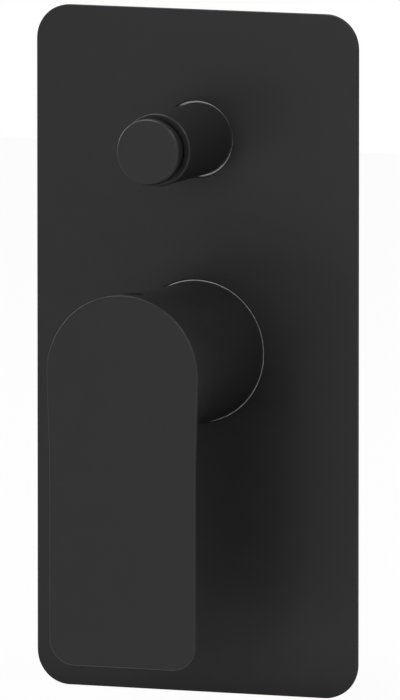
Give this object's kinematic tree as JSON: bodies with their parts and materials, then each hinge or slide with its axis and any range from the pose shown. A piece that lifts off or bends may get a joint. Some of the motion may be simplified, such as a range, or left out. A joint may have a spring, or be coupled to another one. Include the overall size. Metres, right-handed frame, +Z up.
{
  "type": "concealed shower mixer",
  "caption": "Concealed single-lever shower mixer with push-button diverter: flat cover plate, broad paddle lever and brass valve body that sits in the wall.",
  "frame": {"origin": "on the lever's axis, on the face of the finished wall", "axes": "+Z up, +Y into the wall, +X to the right as one faces the mixer"},
  "size_m": [0.11, 0.1137, 0.22],
  "materials": {
    "black_plate": "matte black powder coat on steel sheet",
    "black_lever": "matte black powder coat on a casting",
    "black_turned": "matte black coat on turned brass",
    "black_plastic": "matte",
    "foam": "closed-cell foam",
    "white_silicone": "smooth white silicone",
    "black_rubber": "moulded rubber",
    "cast_brass": "sand-cast and machined at the joints",
    "turned_brass": "turned",
    "steel": "turned stainless steel",
    "white_plastic": "moulded",
    "grey_plastic": "moulded",
    "blue_plastic": "moulded",
    "red_fibre": "pressed fibre",
    "disc_ceramic": "lapped"
  },
  "bodies": {
    "valve": {"cover_plate": "black_plate", "plate_gasket": "foam", "lever_hole_seal": "white_silicone", "button_hole_seal": "white_silicone", "lever_sleeve": "black_turned", "sleeve_oring": "black_rubber", "button_sleeve": "black_turned", "button_sleeve_oring": "black_rubber", "valve_body": "cast_brass", "inlet_strainers": "white_plastic", "cartridge_nut": "turned_brass", "cartridge_housing": "white_plastic", "cartridge_base": "grey_plastic", "base_seals": "black_rubber", "disc_seals": "black_rubber", "fixed_disc": "disc_ceramic", "diverter_gland": "turned_brass", "gland_washer": "red_fibre", "spindle_oring": "black_rubber", "diverter_cage": "white_plastic", "cage_orings": "black_rubber", "diverter_spring": "steel"},
    "holder": {"spindle_holder": "white_plastic", "pivot_pin": "steel"},
    "handle": {"lever_spindle": "turned_brass", "lever": "black_lever", "set_screw": "steel", "index_plug": "black_plastic"},
    "disc": {"disc_carrier": "blue_plastic", "moving_disc": "disc_ceramic"},
    "button": {"diverter_spindle": "steel", "valve_washers": "black_rubber", "retaining_clips": "steel", "diverter_button": "black_turned"}
  },
  "joints": [
    {"name": "lever_turn", "type": "hinge", "parent": "valve", "child": "holder", "pos_m": [0, -0.02735, 0], "axis": [0, 1, 0], "range_deg": [-50, 50]},
    {"name": "lever_lift", "type": "hinge", "parent": "holder", "child": "handle", "pos_m": [0, -0.02735, 0], "axis": [-1, 0, 0], "range_deg": [0, 25]},
    {"name": "disc_slide", "type": "slide", "parent": "holder", "child": "disc", "axis": [0, 0, -1], "range_m": [0, 0.0051]},
    {"name": "button_push", "type": "slide", "parent": "valve", "child": "button", "axis": [0, 1, 0], "range_m": [0, 0.0039], "stiffness_N_per_m": 300, "springref_m": -0.012, "deforming": ["diverter_spring"]}
  ],
  "couplings": [
    {"joint": "disc_slide", "follows": "lever_lift", "m_per_rad": 0.011623}
  ]
}
